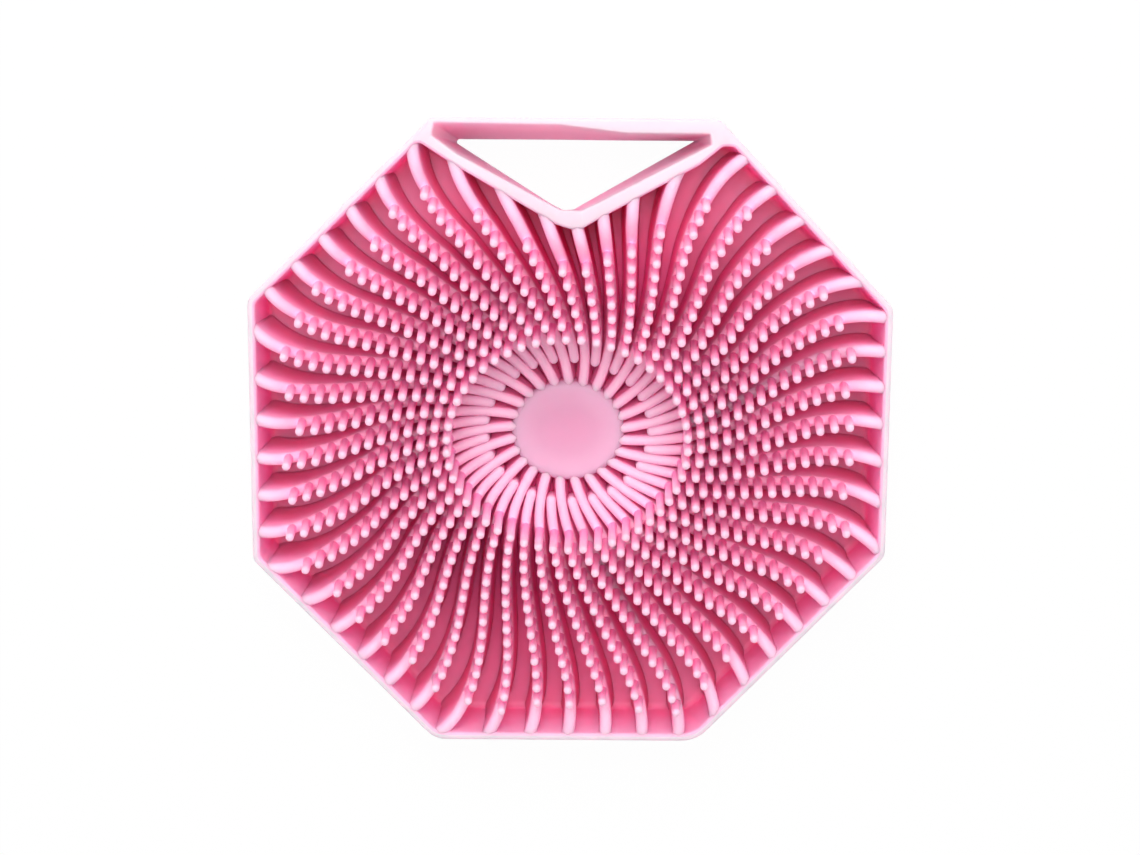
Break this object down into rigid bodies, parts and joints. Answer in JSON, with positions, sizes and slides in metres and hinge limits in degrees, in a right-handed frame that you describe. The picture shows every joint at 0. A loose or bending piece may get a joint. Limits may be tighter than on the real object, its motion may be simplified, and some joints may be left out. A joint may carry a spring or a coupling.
{
  "type": "facial cleansing brush",
  "caption": "Octagonal pink silicone cleansing brush: S-curved fins with peg bristles swirl from an oval centre pad to a thin rim with a V-shaped hanging slot.",
  "frame": {"origin": "middle of the bounding box in X and Y, on the flat back face", "axes": "+Z out of the back, towards the bristle tips; +Y towards the end with the hanging slot; +X across, to the right when the bristles are seen with the slot at the top"},
  "size_m": [0.075, 0.074, 0.0165],
  "materials": {
    "silicone": "satin translucent silicone"
  },
  "bodies": {
    "root": {"back_sheet": "silicone", "rim_wall": "silicone", "hanging_bar": "silicone", "slot_wall_left": "silicone", "slot_wall_right": "silicone", "centre_pad": "silicone", "long_fin_01": "silicone", "long_fin_02": "silicone", "long_fin_03": "silicone", "long_fin_04": "silicone", "long_fin_05": "silicone", "long_fin_06": "silicone", "long_fin_07": "silicone", "long_fin_08": "silicone", "long_fin_09": "silicone", "long_fin_10": "silicone", "long_fin_11": "silicone", "long_fin_12": "silicone", "long_fin_13": "silicone", "long_fin_14": "silicone", "long_fin_15": "silicone", "long_fin_16": "silicone", "long_fin_17": "silicone", "long_fin_18": "silicone", "long_fin_19": "silicone", "long_fin_20": "silicone", "long_fin_21": "silicone", "long_fin_22": "silicone", "long_fin_23": "silicone", "long_fin_24": "silicone", "long_fin_25": "silicone", "short_fin_01": "silicone", "short_fin_02": "silicone", "short_fin_03": "silicone", "short_fin_04": "silicone", "short_fin_05": "silicone", "short_fin_06": "silicone", "short_fin_07": "silicone", "short_fin_08": "silicone", "short_fin_09": "silicone", "short_fin_10": "silicone", "short_fin_11": "silicone", "short_fin_12": "silicone", "short_fin_13": "silicone", "short_fin_14": "silicone", "short_fin_15": "silicone", "short_fin_16": "silicone", "short_fin_17": "silicone", "short_fin_18": "silicone", "short_fin_19": "silicone", "short_fin_20": "silicone", "short_fin_21": "silicone", "short_fin_22": "silicone", "short_fin_23": "silicone", "short_fin_24": "silicone", "short_fin_25": "silicone"}
  },
  "joints": []
}
